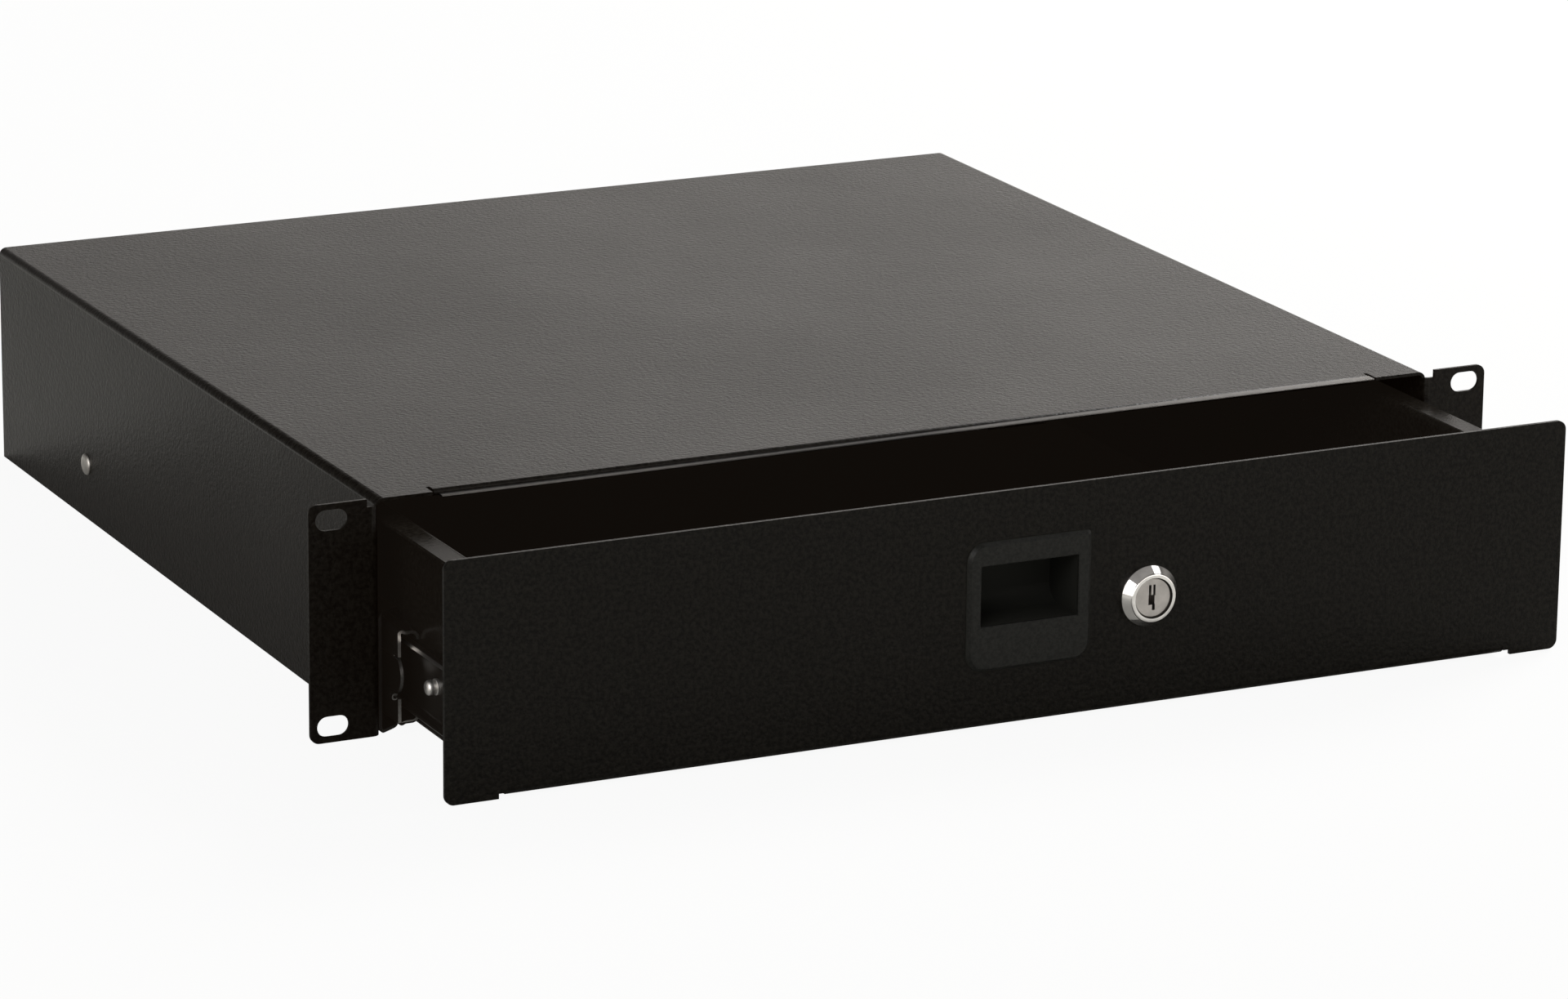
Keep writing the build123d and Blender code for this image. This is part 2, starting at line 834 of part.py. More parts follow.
def lock_nut():
    """Hexagon nut on the barrel, tightened against the back of the panel."""
    start = front_back_face
    outline = RegularPolygon(lock_nut_flats / 2, 6, major_radius=False)
    outline -= Circle(barrel_radius + plug_clearance)
    return lock_place() * along_y(outline, start, start + lock_nut_thickness)


os.makedirs("parts", exist_ok=True)

# Fixed pieces
write("cover_shell", cover_shell())
write("rear_panel", rear_panel())
write("lock_strike", strike())
both_sides("outer_rail", outer_rail())
both_sides("rail_rivets", rail_rivet_heads())
both_sides("rail_end_stop", end_stop())

# Pieces that run between the fixed and the moving rails
both_sides("middle_rail", opened(middle_rail(), 1 / 2))
both_sides("outer_ball_cage", opened(outer_cage(), 1 / 4))
both_sides("outer_balls", opened(outer_balls(), 1 / 4))
both_sides("inner_ball_cage", opened(inner_cage(), 3 / 4))
both_sides("inner_balls", opened(inner_balls(), 3 / 4))

# Pieces of the drawer
write("drawer_tray", opened(drawer_tray()))
write("drawer_front", opened(drawer_front()))
both_sides("inner_rail", opened(inner_rail()))
both_sides("tray_rivets", opened(tray_rivet_heads()))
both_sides("rail_stud", opened(rail_stud()))
write("finger_pull", opened(finger_pull()))
write("lock_housing", opened(lock_housing()))
write("lock_nut", opened(lock_nut()))

# Pieces that turn with the key
write("lock_plug", opened(lock_plug()))
write("lock_cam", opened(lock_cam()))
write("cam_screw", opened(cam_screw()))
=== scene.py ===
import math

import bmesh
import bpy
from mathutils import Matrix, Vector


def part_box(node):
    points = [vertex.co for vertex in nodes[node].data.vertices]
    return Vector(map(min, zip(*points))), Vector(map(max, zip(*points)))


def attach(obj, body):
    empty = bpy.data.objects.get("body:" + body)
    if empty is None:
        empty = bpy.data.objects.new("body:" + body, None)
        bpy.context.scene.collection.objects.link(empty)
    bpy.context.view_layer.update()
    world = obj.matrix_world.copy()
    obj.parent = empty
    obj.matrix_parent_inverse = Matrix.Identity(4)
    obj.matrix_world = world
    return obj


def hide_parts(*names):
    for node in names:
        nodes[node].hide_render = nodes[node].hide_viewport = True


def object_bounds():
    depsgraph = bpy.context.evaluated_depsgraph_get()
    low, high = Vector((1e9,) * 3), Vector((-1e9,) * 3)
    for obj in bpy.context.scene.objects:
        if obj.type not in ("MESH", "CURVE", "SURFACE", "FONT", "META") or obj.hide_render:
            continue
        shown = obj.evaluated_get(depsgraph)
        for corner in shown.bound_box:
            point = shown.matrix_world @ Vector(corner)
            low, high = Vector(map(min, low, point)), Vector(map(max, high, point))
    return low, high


# Sliding rack drawer, two rack units high, in metres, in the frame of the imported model.
# X runs to the right seen from the front, Y to the back and Z up.
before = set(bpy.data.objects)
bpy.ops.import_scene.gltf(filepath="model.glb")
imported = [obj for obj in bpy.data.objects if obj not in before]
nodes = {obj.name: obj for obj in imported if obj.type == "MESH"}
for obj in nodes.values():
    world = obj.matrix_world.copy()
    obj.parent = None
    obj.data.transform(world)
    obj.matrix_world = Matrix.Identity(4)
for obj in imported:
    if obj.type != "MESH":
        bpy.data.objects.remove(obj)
cad_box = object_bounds()
scene = bpy.context.scene
scene.view_settings.view_transform = "Standard"


# The view: from the front left and a little above the drawer, taken with a long lens that was
# fitted to the corners of the ears, the cover and the drawer front.
camera_place = (-1.05628, -2.05116, 0.68527)
camera_turn = math.radians(26.03)
camera_dip = math.radians(16.17)
camera_roll = math.radians(0.62)
camera_data = bpy.data.cameras.new("camera")
camera_data.lens = 150.06
camera_data.sensor_width = 36.0
camera_data.shift_x = -0.00083
camera_data.shift_y = 0.00184
camera_data.clip_end = 30.0
camera = bpy.data.objects.new("camera", camera_data)
look = Matrix.Rotation(-camera_turn, 4, "Z") @ Matrix.Rotation(math.pi / 2 - camera_dip, 4, "X")
camera.matrix_world = Matrix.Translation(camera_place) @ look @ Matrix.Rotation(camera_roll, 4, "Z")
scene.collection.objects.link(camera)
scene.camera = camera


# The studio: a white table under a white surround that darkens towards its ceiling and its back
# left, one broad soft lamp overhead at the back right, a weak one at the front left and a small
# one that glints in the lock.
floor_level = cad_box[0].z
floor_half = 6.0
pure_white = (1, 1, 1, 1)
table_paint = (0.70, 0.69, 0.65, 1)
table_white_to_eye = 0.93
table_white_in_gloss = 0.02
surround_tint = (1.0, 0.955, 0.915, 1)
surround_on_paint = 0.34
surround_in_gloss = 1.85
ceiling_grey = (0.16, 0.155, 0.15, 1)
ceiling_starts = 0.40
ceiling_full = 0.62
dark_side = 0.10
dark_side_level = 0.10
light_side = 0.60
dark_back = 0.35
light_front = -0.10


def shader(made, kind, **values):
    """Add a shader node and set its own sockets."""
    node = made.new(kind)
    for name, value in values.items():
        node.inputs[name.replace("_", " ")].default_value = value
    return node


def ramp(made, stops):
    """Add a colour ramp with stops given as (position, colour)."""
    node = made.new("ShaderNodeValToRGB")
    elements = node.color_ramp.elements
    while len(elements) < len(stops):
        elements.new(0.5)
    for element, (position, colour) in zip(elements, stops):
        element.position = position
        element.color = colour
    return node


def reckon(made, links, operation, *values):
    """Output of a maths node, whose values are numbers or other nodes' outputs."""
    node = made.new("ShaderNodeMath")
    node.operation = operation
    for socket, value in zip(node.inputs, values):
        if isinstance(value, (int, float)):
            socket.default_value = value
        else:
            links.new(value, socket)
    return node.outputs[0]


def mixed(made, links, share, first, second):
    """Output of a mix of two shaders, all of the second where the share is 1."""
    node = made.new("ShaderNodeMixShader")
    for socket, value in zip(node.inputs, (share, first, second)):
        links.new(value, socket)
    return node.outputs[0]


def seen_in_gloss(made, links, path):
    """1 for light that reaches the eye by way of shiny metal, paint or glass."""
    return reckon(
        made, links, "MAXIMUM", path.outputs["Is Glossy Ray"], path.outputs["Is Transmission Ray"]
    )


def bare_material(name):
    """A new material with only its output node."""
    material = bpy.data.materials.new(name)
    material.use_nodes = True
    tree = material.node_tree
    tree.nodes.clear()
    return material, tree.nodes, tree.links, tree.nodes.new("ShaderNodeOutputMaterial")


def white_table():
    """Matt white table: nearly white to the eye, a little of the shadow left, and truer in metal."""
    material, made, links, out = bare_material("white_table")
    paint = shader(made, "ShaderNodeBsdfDiffuse", Color=table_paint)
    glow = shader(made, "ShaderNodeEmission", Color=pure_white, Strength=1.0)
    path = made.new("ShaderNodeLightPath")
    to_eye = reckon(made, links, "MULTIPLY", path.outputs["Is Camera Ray"], table_white_to_eye)
    in_gloss = reckon(made, links, "MULTIPLY", seen_in_gloss(made, links, path), table_white_in_gloss)
    share = reckon(made, links, "MAXIMUM", to_eye, in_gloss)
    surface = mixed(made, links, share, paint.outputs[0], glow.outputs[0])
    links.new(surface, out.inputs["Surface"])
    return material


table_mesh = bpy.data.meshes.new("white_table")
table_corners = ((-1, -1), (1, -1), (1, 1), (-1, 1))
table_mesh.from_pydata(
    [(x * floor_half, y * floor_half, floor_level) for x, y in table_corners],
    [],
    [(0, 1, 2, 3)],
)
table = bpy.data.objects.new("white_table", table_mesh)
table_mesh.materials.append(white_table())
scene.collection.objects.link(table)


def white_surround():
    """World light: white to the eye, even on matt paint, darker overhead and back left in gloss."""
    world = bpy.data.worlds.new("white_surround")
    world.use_nodes = True
    made = world.node_tree.nodes
    links = world.node_tree.links
    made.clear()
    out = made.new("ShaderNodeOutputWorld")
    even = shader(made, "ShaderNodeBackground", Color=pure_white, Strength=surround_on_paint)
    white = shader(made, "ShaderNodeBackground", Color=pure_white, Strength=1.0)
    mirrored = made.new("ShaderNodeBackground")
    path = made.new("ShaderNodeLightPath")
    place = made.new("ShaderNodeTexCoord")
    parts = made.new("ShaderNodeSeparateXYZ")
    shade = ramp(made, [(ceiling_starts, surround_tint), (ceiling_full, ceiling_grey)])
    sideways = shader(
        made, "ShaderNodeMapRange", From_Min=dark_side, From_Max=light_side, To_Min=dark_side_level
    )
    forward = shader(made, "ShaderNodeMapRange", From_Min=dark_back, From_Max=light_front)
    links.new(place.outputs["Generated"], parts.inputs[0])
    links.new(parts.outputs["X"], sideways.inputs["Value"])
    links.new(parts.outputs["Y"], forward.inputs["Value"])
    links.new(parts.outputs["Z"], shade.inputs["Fac"])
    light = reckon(made, links, "MAXIMUM", sideways.outputs["Result"], forward.outputs["Result"])
    strength = reckon(made, links, "MULTIPLY", light, surround_in_gloss)
    links.new(shade.outputs["Color"], mirrored.inputs["Color"])
    links.new(strength, mirrored.inputs["Strength"])
    gloss = seen_in_gloss(made, links, path)
    unseen = mixed(made, links, gloss, even.outputs[0], mirrored.outputs[0])
    surface = mixed(made, links, path.outputs["Is Camera Ray"], unseen, white.outputs[0])
    links.new(surface, out.inputs["Surface"])
    return world


scene.world = white_surround()


def soft_lamp(name, place, target, width, height, power):
    """A soft lamp that points at a spot."""
    data = bpy.data.lights.new(name, "AREA")
    data.shape = "RECTANGLE"
    data.size = width
    data.size_y = height
    data.energy = power
    lamp = bpy.data.objects.new(name, data)
    lamp.location = place
    lamp.rotation_euler = (Vector(target) - Vector(place)).to_track_quat("-Z", "Y").to_euler()
    scene.collection.objects.link(lamp)


soft_lamp("overhead_lamp", place=(2.2, 1.0, 1.5), target=(0, 0.15, 0), width=1.2, height=1.0, power=90)
soft_lamp("front_lamp", place=(-1.8, -1.6, 1.5), target=(0, 0.1, 0), width=1.4, height=1.0, power=16)
soft_lamp("small_lamp", place=(1.35, -0.09, 1.54), target=(0.05, -0.09, 0), width=0.8, height=0.7, power=5)


# The cover: top, side walls and rack ears cut and folded from one 1.2 mm steel sheet, then
# coated with baked black powder. The coat is finely pitted and rolls over the cut edges. It is
# never quite black in the shade: it glows faintly, painted light for the stray light that reaches it.
coat_black = (0.0062, 0.0056, 0.0045, 1)
coat_gloss = 0.09
coat_roughness = 0.32
coat_grain = 0.0016
coat_dark_speck = 0.35
coat_light_speck = 1.70
coat_patches = 11.0
coat_patch_spread = 0.015
coat_pit_depth = 0.00030
coat_edge_roll = 0.00035
cover_painted_stray_light = (0.0013, 0.0006, 0.0002, 1)
weld_distance = 0.000002
edge_angle = math.radians(38)


def shade_of(colour, share):
    """The same colour, darker or lighter by a share."""
    return tuple(share * part for part in colour[:3]) + (1,)


def textured_coat(name, gloss, roughness, pit_depth, painted_stray_light):
    """Powder coat: warm matt black, pitted by a fine orange-peel grain, and faintly glowing as painted
    light.
    """
    material, made, links, out = bare_material(name)
    place = made.new("ShaderNodeTexCoord")
    peel = shader(made, "ShaderNodeTexNoise", Scale=1 / coat_grain, Detail=4.0, Roughness=0.62)
    patches = shader(made, "ShaderNodeTexNoise", Scale=coat_patches, Detail=3.0)
    dark = shade_of(coat_black, coat_dark_speck)
    light = shade_of(coat_black, coat_light_speck)
    tint = ramp(made, [(0.38, dark), (0.62, light)])
    sheen = shader(
        made,
        "ShaderNodeMapRange",
        From_Min=0.35,
        From_Max=0.65,
        To_Min=roughness - coat_patch_spread,
        To_Max=roughness + coat_patch_spread,
    )
    relief = shader(made, "ShaderNodeBump", Strength=1.0, Distance=pit_depth)
    coat = shader(
        made,
        "ShaderNodeBsdfPrincipled",
        Specular_IOR_Level=gloss,
        Emission_Color=painted_stray_light,
        Emission_Strength=1.0,
    )
    links.new(place.outputs["Object"], peel.inputs["Vector"])
    links.new(place.outputs["Object"], patches.inputs["Vector"])
    links.new(peel.outputs["Fac"], tint.inputs["Fac"])
    links.new(peel.outputs["Fac"], relief.inputs["Height"])
    links.new(patches.outputs["Fac"], sheen.inputs["Value"])
    links.new(tint.outputs["Color"], coat.inputs["Base Color"])
    links.new(sheen.outputs["Result"], coat.inputs["Roughness"])
    links.new(relief.outputs["Normal"], coat.inputs["Normal"])
    links.new(coat.outputs["BSDF"], out.inputs["Surface"])
    return material


def dress(node, material, edge=0.0, segments=2):
    """Give a node its finish and round its sharp edges a little."""
    thing = nodes[node]
    thing.data.materials.clear()
    thing.data.materials.append(material)
    if edge:
        weld = thing.modifiers.new("joined_faces", "WELD")
        weld.merge_threshold = weld_distance
        roll = thing.modifiers.new("edge_roll", "BEVEL")
        roll.width = edge
        roll.segments = segments
        roll.limit_method = "ANGLE"
        roll.angle_limit = edge_angle
        roll.harden_normals = False
        roll.use_clamp_overlap = True


cover_coat = textured_coat("cover_coat", coat_gloss, coat_roughness, coat_pit_depth, cover_painted_stray_light)
dress("cover_shell", cover_coat, edge=coat_edge_roll)


# The front edge of the top: its sheet is folded under, and the lower leaf of that fold stands
# out in front as a slim lip that sags a little towards the left. Its thin bright line is a painted
# highlight: the lip is drawn as a dim metal, dimmed further along X where the highlight fades.
lip_left = -0.1902
lip_right = 0.1924
lip_front = -0.0014
lip_back = 0.0030
lip_thickness = 0.0007
lip_drop_left = 0.00150
lip_drop_right = 0.00008
lip_steps = 48
lip_highlight_colour = (0.14, 0.134, 0.127, 1)
lip_highlight_strength = [
    (0.0, 0.95),
    (0.20, 0.85),
    (0.36, 0.30),
    (0.50, 0.18),
    (0.56, 0.65),
    (0.75, 0.85),
    (1.0, 1.0),
]
cover_top = 0.04365
metal_cloud = 240.0
metal_dull_patch = 0.80
metal_sheen_spread = 0.2


def finished(mesh, name, material, body, smooth_angle=32):
    """Turn a mesh into a piece with its finish and the body it rides on."""
    mesh.materials.append(material)
    for face in mesh.polygons:
        face.use_smooth = True
    mesh.set_sharp_from_angle(angle=math.radians(smooth_angle))
    thing = bpy.data.objects.new(name, mesh)
    scene.collection.objects.link(thing)
    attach(thing, body)
    return thing


def closed_mesh(work, name):
    """Turn all faces outward and make the mesh."""
    bmesh.ops.recalc_face_normals(work, faces=work.faces)
    mesh = bpy.data.meshes.new(name)
    work.to_mesh(mesh)
    work.free()
    return mesh


def painted_highlight_along_x(made, links, place, colour, painted_highlight):
    """A colour dimmed along X by a painted highlight's strength, given as (share, level)."""
    parts = made.new("ShaderNodeSeparateXYZ")
    along = shader(made, "ShaderNodeMapRange", From_Min=lip_left, From_Max=lip_right)
    highlight_strength = ramp(made, [(share, (level, level, level, 1)) for share, level in painted_highlight])
    dim = made.new("ShaderNodeMix")
    dim.data_type = "RGBA"
    dim.blend_type = "MULTIPLY"
    dim.inputs["Factor"].default_value = 1.0
    links.new(place.outputs["Object"], parts.inputs[0])
    links.new(parts.outputs["X"], along.inputs["Value"])
    links.new(along.outputs["Result"], highlight_strength.inputs["Fac"])
    links.new(colour, dim.inputs["A"])
    links.new(highlight_strength.outputs["Color"], dim.inputs["B"])
    return dim.outputs["Result"]


def worn_metal_and_highlight(name, colour, roughness, grain, depth, streaks=(1, 1, 1), painted_highlight=None):
    """Metal with fine marks, which streaks draws out along an axis, cloudy patches and, where given, a
    painted highlight dimmed along X.
    """
    material, made, links, out = bare_material(name)
    place = made.new("ShaderNodeTexCoord")
    stretch = made.new("ShaderNodeMapping")
    stretch.inputs["Scale"].default_value = tuple(part / grain for part in streaks)
    marks = shader(made, "ShaderNodeTexNoise", Scale=1.0, Detail=4.0, Roughness=0.6)
    cloud = shader(made, "ShaderNodeTexNoise", Scale=metal_cloud, Detail=2.0)
    tint = ramp(made, [(0.32, shade_of(colour, metal_dull_patch)), (0.68, colour)])
    sheen = shader(
        made,
        "ShaderNodeMapRange",
        From_Min=0.3,
        From_Max=0.7,
        To_Min=roughness * (1 - metal_sheen_spread),
        To_Max=roughness * (1 + metal_sheen_spread),
    )
    relief = shader(made, "ShaderNodeBump", Strength=1.0, Distance=depth)
    metal = shader(made, "ShaderNodeBsdfPrincipled", Metallic=1.0)
    links.new(place.outputs["Object"], stretch.inputs["Vector"])
    links.new(place.outputs["Object"], cloud.inputs["Vector"])
    links.new(stretch.outputs["Vector"], marks.inputs["Vector"])
    links.new(cloud.outputs["Fac"], tint.inputs["Fac"])
    links.new(marks.outputs["Fac"], sheen.inputs["Value"])
    links.new(marks.outputs["Fac"], relief.inputs["Height"])
    shown = tint.outputs["Color"]
    if painted_highlight:
        shown = painted_highlight_along_x(made, links, place, shown, painted_highlight)
    links.new(shown, metal.inputs["Base Color"])
    links.new(sheen.outputs["Result"], metal.inputs["Roughness"])
    links.new(relief.outputs["Normal"], metal.inputs["Normal"])
    links.new(metal.outputs["BSDF"], out.inputs["Surface"])
    return material


def hem_lip():
    """Slim strip with a rounded front, swept along the top's front edge with its sag."""
    work = bmesh.new()
    half = lip_thickness / 2
    rounding = [math.radians(90 + 30 * i) for i in range(7)]
    outline = [(lip_back, 0.0)]
    outline += [(lip_front + half + half * math.cos(a), -half + half * math.sin(a)) for a in rounding]
    outline += [(lip_back, -lip_thickness)]
    rings = []
    for i in range(lip_steps + 1):
        share = i / lip_steps
        settle = share * share * (3 - 2 * share)
        top = cover_top - lip_drop_left + (lip_drop_left - lip_drop_right) * settle
        x = lip_left + (lip_right - lip_left) * share
        rings.append([work.verts.new((x, y, top + z)) for y, z in outline])
    for near, far in zip(rings, rings[1:]):
        for j in range(len(outline)):
            k = (j + 1) % len(outline)
            work.faces.new((near[j], near[k], far[k], far[j]))
    work.faces.new(rings[0][::-1])
    work.faces.new(rings[-1])
    return closed_mesh(work, "hem_lip")


# The lip's metal and its dimming along X are painted highlight.
lip_highlight_metal = worn_metal_and_highlight(
    "lip_highlight_metal", lip_highlight_colour, roughness=0.36, grain=0.0009, depth=0.000012, painted_highlight=lip_highlight_strength
)
finished(hem_lip(), "hem_lip", lip_highlight_metal, "chassis", smooth_angle=50)


# The rear panel: a shallow pan of the same coated sheet, spot-welded by its flanges inside the
# back edge of the cover.
dress("rear_panel", cover_coat)


# The strike: a small angle of coated steel, welded under the top behind the drawer front. The
# lock's cam hooks behind its front leg.
dress("lock_strike", cover_coat, edge=0.00015)


# The outer rails: channels of rolled strip with a thin smooth black coat, slit and cut to length
# after coating, so that the cut ends are bare steel. They are riveted to the side walls.
sides = ((-1, "left"), (1, "right"))
rail_black = (0.0042, 0.0038, 0.0033, 1)
# The rails' coat glows faintly: painted light standing in for stray light in their shade.
rail_painted_stray_light = (0.0040, 0.0029, 0.0021, 1)
bare_steel = (0.70, 0.68, 0.65, 1)
rail_centre = -0.02155
cut_depth = 0.00012
slit_lean = math.radians(40)
slit_squareness = 0.98
front_facing = -0.5
rolling_lines = (1400, 14, 1400)
rail_dark_line = 0.8
steel_dark_line = 0.78
rail_smoothest = 0.26
rail_roughest = 0.40


def drawn_lines(made, links, place):
    """Very fine lines along Y, as rolling leaves on strip."""
    stretch = made.new("ShaderNodeMapping")
    stretch.inputs["Scale"].default_value = rolling_lines
    lines = shader(made, "ShaderNodeTexNoise", Scale=1.0, Detail=4.0)
    links.new(place.outputs["Object"], stretch.inputs["Vector"])
    links.new(stretch.outputs["Vector"], lines.inputs["Vector"])
    return lines.outputs["Fac"]


def cut_end(made, links, parts, end, direction):
    """1 on the thin slice at one end, where the strip was cut to length."""
    test = "LESS_THAN" if direction < 0 else "GREATER_THAN"
    return reckon(made, links, test, parts.outputs["Y"], end - direction * cut_depth)


def sheared_front(made, links, parts, facing, above):
    """1 on faces that look to the front, above a height."""
    front = reckon(made, links, "LESS_THAN", facing.outputs["Y"], front_facing)
    high = reckon(made, links, "GREATER_THAN", parts.outputs["Z"], above)
    return reckon(made, links, "MULTIPLY", front, high)


def slit_edge(made, links, parts, facing, reach):
    """1 on the leaning slit edge of the upper lip, further out than a reach."""
    away = reckon(made, links, "ABSOLUTE", parts.outputs["X"])
    tip = reckon(made, links, "GREATER_THAN", away, reach)
    outward = reckon(made, links, "ABSOLUTE", facing.outputs["X"])
    lean = reckon(made, links, "MULTIPLY", outward, math.cos(slit_lean))
    square = reckon(made, links, "MULTIPLY_ADD", facing.outputs["Z"], math.sin(slit_lean), lean)
    up = reckon(made, links, "GREATER_THAN", square, slit_squareness)
    return reckon(made, links, "MULTIPLY", tip, up)


def coated_strip(name, ends=(), slit_from=None, cut_above=None):
    """Black coated strip with a faint painted glow, bare where it was cut off at its ends and along its
    slit edges.
    """
    material, made, links, out = bare_material(name)
    place = made.new("ShaderNodeTexCoord")
    lines = drawn_lines(made, links, place)
    tint = ramp(made, [(0.35, shade_of(rail_black, rail_dark_line)), (0.65, rail_black)])
    shine = ramp(made, [(0.30, shade_of(bare_steel, steel_dark_line)), (0.70, bare_steel)])
    sheen = shader(made, "ShaderNodeMapRange", To_Min=rail_smoothest, To_Max=rail_roughest)
    relief = shader(made, "ShaderNodeBump", Strength=0.5, Distance=0.000006)
    coat = shader(
        made,
        "ShaderNodeBsdfPrincipled",
        Specular_IOR_Level=0.35,
        Emission_Color=rail_painted_stray_light,
        Emission_Strength=1.0,
    )
    steel = shader(made, "ShaderNodeBsdfPrincipled", Metallic=1.0, Roughness=0.30)
    for follower, socket in ((tint, "Fac"), (shine, "Fac"), (sheen, "Value"), (relief, "Height")):
        links.new(lines, follower.inputs[socket])
    links.new(tint.outputs["Color"], coat.inputs["Base Color"])
    links.new(sheen.outputs["Result"], coat.inputs["Roughness"])
    links.new(relief.outputs["Normal"], coat.inputs["Normal"])
    links.new(shine.outputs["Color"], steel.inputs["Base Color"])
    parts = made.new("ShaderNodeSeparateXYZ")
    facing = made.new("ShaderNodeSeparateXYZ")
    links.new(place.outputs["Object"], parts.inputs[0])
    links.new(place.outputs["Normal"], facing.inputs[0])
    bare = [cut_end(made, links, parts, end, direction) for end, direction in ends]
    if cut_above is not None:
        bare.append(sheared_front(made, links, parts, facing, cut_above))
    if slit_from is not None:
        bare.append(slit_edge(made, links, parts, facing, slit_from))
    mask = bare[0]
    for other in bare[1:]:
        mask = reckon(made, links, "MAXIMUM", mask, other)
    surface = mixed(made, links, mask, coat.outputs["BSDF"], steel.outputs["BSDF"])
    links.new(surface, out.inputs["Surface"])
    return material


outer_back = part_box("left_outer_rail")[1].y
outer_rail_finish = coated_strip("outer_rail_coat", ends=[(outer_back, 1)])
dress("left_outer_rail", outer_rail_finish)
dress("right_outer_rail", outer_rail_finish)


# The rivets of the outer rails: headed steel, set through the side walls and the rails. Their
# low domed heads show on the outside, bright against the black coat.
rivet_radius = 0.0043
rivet_height = 0.0014
rivet_edge_share = 0.16
rivet_flat_share = 0.30
wall_outside = 0.2154
side_rivet_places = (0.0280, 0.2995)
rivet_steel = (0.56, 0.54, 0.51, 1)


def turned(work, profile, centre, axis, steps=64):
    """Add a turned form to a mesh: the profile is (distance along the axis, radius)."""
    axis = Vector(axis).normalized()
    across = axis.orthogonal().normalized()
    other = axis.cross(across)
    turns = [2 * math.pi * i / steps for i in range(steps)]
    spokes = [across * math.cos(turn) + other * math.sin(turn) for turn in turns]
    rings = []
    for along, radius in profile:
        middle = Vector(centre) + axis * along
        if radius == 0:
            rings.append([work.verts.new(middle)])
        else:
            rings.append([work.verts.new(middle + radius * spoke) for spoke in spokes])
    for near, far in zip(rings, rings[1:]):
        for i in range(steps):
            k = (i + 1) % steps
            corners = [near[i % len(near)], near[k % len(near)], far[k % len(far)], far[i % len(far)]]
            unique = list(dict.fromkeys(corners))
            if len(unique) > 2:
                work.faces.new(unique)


def turned_piece(name, items, material, body, smooth_angle=32):
    """One piece of several turned forms, each given as (profile, centre, axis)."""
    work = bmesh.new()
    for profile, centre, axis in items:
        turned(work, profile, centre, axis)
    return finished(closed_mesh(work, name), name, material, body, smooth_angle)


def rivet_head(face, y, direction):
    """Low domed head: a flat seat, a small upright edge and a crown that flattens at its top."""
    profile = [(0.0, 0.0), (0.0, rivet_radius), (rivet_height * rivet_edge_share, rivet_radius)]
    for i in range(1, 10):
        angle = math.radians(10 * i)
        profile.append((
            rivet_height * (rivet_edge_share + (1 - rivet_edge_share) * math.sin(angle)),
            rivet_radius * (rivet_flat_share + (1 - rivet_flat_share) * math.cos(angle)),
        ))
    profile.append((rivet_height, 0.0))
    return profile, (face, y, rail_centre), (direction, 0, 0)


rivet_finish = worn_metal_and_highlight("rivet_steel", rivet_steel, roughness=0.42, grain=0.0004, depth=0.000003)
for side, name in sides:
    heads = [rivet_head(side * wall_outside, y, side) for y in side_rivet_places]
    piece = turned_piece(name + "_rivet_heads", heads, rivet_finish, "chassis")
    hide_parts(name + "_rail_rivets")


# The end stops: black moulded blocks at the rear of the outer rails, pressed into the channel.
# The middle rails close against them. The moulding is satin, with a fine spark-eroded grain.
stop_black = (0.008, 0.0076, 0.007)
moulding_grain = 900.0
moulding_relief = 0.00005
moulding_dark_grain = 0.6
moulding_light_grain = 1.4
hollow_painted_lift = 1.8
hollow_painted_gloss_share = 0.3


def moulded_black(name, base, gloss, roughness, painted_hollow_from=None):
    """Black moulding, with painted shade and light in the hollow behind its face where one is asked for.
    """
    material, made, links, out = bare_material(name)
    place = made.new("ShaderNodeTexCoord")
    grain = shader(made, "ShaderNodeTexNoise", Scale=moulding_grain, Detail=3.0, Roughness=0.6)
    dark = shade_of(base, moulding_dark_grain)
    light = shade_of(base, moulding_light_grain)
    tint = ramp(made, [(0.38, dark), (0.62, light)])
    relief = shader(made, "ShaderNodeBump", Strength=1.0, Distance=moulding_relief)
    plastic = shader(made, "ShaderNodeBsdfPrincipled", Roughness=roughness, Specular_IOR_Level=gloss)
    links.new(place.outputs["Object"], grain.inputs["Vector"])
    links.new(grain.outputs["Fac"], tint.inputs["Fac"])
    links.new(grain.outputs["Fac"], relief.inputs["Height"])
    links.new(tint.outputs["Color"], plastic.inputs["Base Color"])
    links.new(relief.outputs["Normal"], plastic.inputs["Normal"])
    surface = plastic.outputs["BSDF"]
    if painted_hollow_from is not None:
        # Painted for the hollow's light: less gloss for its shade, a lifted base for the dim light in it.
        painted_hollow = shader(
            made,
            "ShaderNodeBsdfPrincipled",
            Base_Color=shade_of(base, hollow_painted_lift),
            Roughness=0.6,
            Specular_IOR_Level=gloss * hollow_painted_gloss_share,
        )
        parts = made.new("ShaderNodeSeparateXYZ")
        links.new(place.outputs["Object"], parts.inputs[0])
        behind = reckon(made, links, "GREATER_THAN", parts.outputs["Y"], painted_hollow_from)
        surface = mixed(made, links, behind, surface, painted_hollow.outputs["BSDF"])
    links.new(surface, out.inputs["Surface"])
    return material


stop_moulding = moulded_black("stop_moulding", stop_black, gloss=0.25, roughness=0.45)
dress("left_rail_end_stop", stop_moulding, edge=0.0003)
dress("right_rail_end_stop", stop_moulding, edge=0.0003)


# The middle rails: rolled in one grooved section of the same coated strip, sheared off at both
# ends, where the bare steel shows bright. They run on balls between the outer and inner rails.
middle_clean_cut = rail_centre - 0.0166
middle_rail_finish = coated_strip("middle_rail_coat", cut_above=middle_clean_cut)
dress("left_middle_rail", middle_rail_finish)
dress("right_middle_rail", middle_rail_finish)


